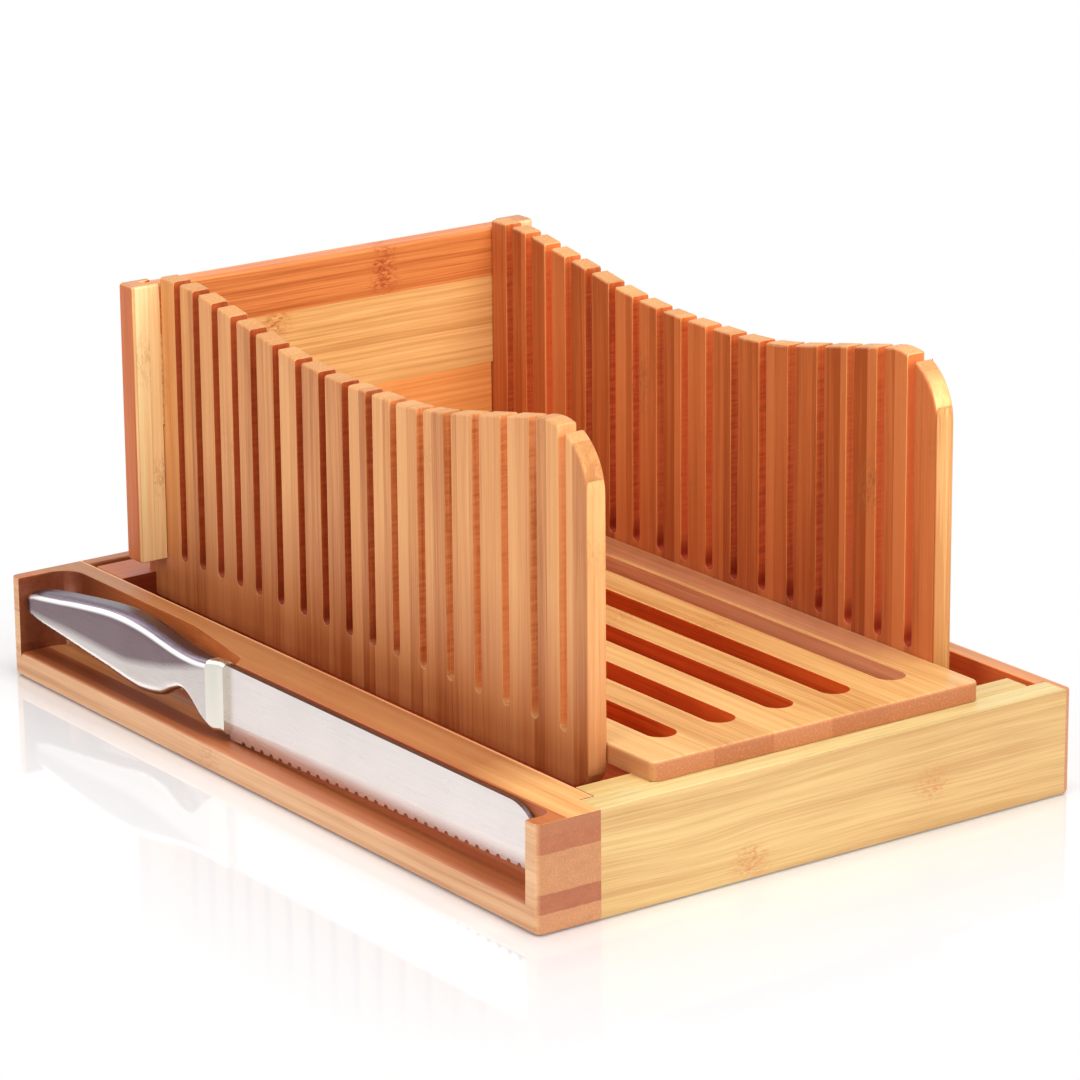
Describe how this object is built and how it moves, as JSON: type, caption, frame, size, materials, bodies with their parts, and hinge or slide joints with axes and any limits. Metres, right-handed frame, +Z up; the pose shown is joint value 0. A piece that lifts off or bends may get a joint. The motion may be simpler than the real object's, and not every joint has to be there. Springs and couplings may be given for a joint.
{
  "type": "bread slicer guide",
  "caption": "Bamboo bread slicer guide with slotted side guides on a slatted lift-out rack, a crumb tray, a lift-off stop panel and a serrated knife stored in the tray's side pocket.",
  "frame": {"origin": "centre of the tray's underside", "axes": "+Z up, front of the tray (where the loaf is loaded) towards -Y, knife pocket on the -X side"},
  "size_m": [0.243, 0.36, 0.1638],
  "materials": {
    "natural_bamboo": "light yellow natural bamboo, satin lacquer",
    "caramel_bamboo": "carbonised caramel bamboo, satin lacquer",
    "red_bamboo": "darker red-brown carbonised bamboo, satin lacquer",
    "golden_bamboo": "golden bamboo, satin lacquer",
    "blade_steel": "pale ground stainless steel",
    "handle_steel": "brushed stainless steel"
  },
  "bodies": {
    "tray": {"knife_wall": "caramel_bamboo", "partition_wall": "caramel_bamboo", "front_rail": "natural_bamboo", "right_rail": "caramel_bamboo", "back_rail": "caramel_bamboo", "tray_floor": "red_bamboo"},
    "rack": {"front_batten": "natural_bamboo", "rear_batten": "caramel_bamboo", "slatted_board": "golden_bamboo", "left_guide": "golden_bamboo", "right_guide": "golden_bamboo", "guide_dowels": "natural_bamboo", "batten_dowels": "natural_bamboo"},
    "stop_panel": {"upper_stave": "caramel_bamboo", "middle_stave": "golden_bamboo", "lower_stave": "caramel_bamboo", "left_cleat": "golden_bamboo", "right_cleat": "golden_bamboo"},
    "bread_knife": {"knife_blade": "blade_steel", "knife_bolster": "handle_steel", "knife_handle": "handle_steel"}
  },
  "joints": [
    {"name": "rack_lift", "type": "slide", "parent": "tray", "child": "rack", "axis": [0, 0, 1], "range_m": [0, 0.06]},
    {"name": "panel_lift", "type": "slide", "parent": "rack", "child": "stop_panel", "axis": [0, 0, 1], "range_m": [0, 0.12]},
    {"name": "knife_lift", "type": "slide", "parent": "tray", "child": "bread_knife", "axis": [0, 0, 1], "range_m": [0, 0.05]}
  ]
}
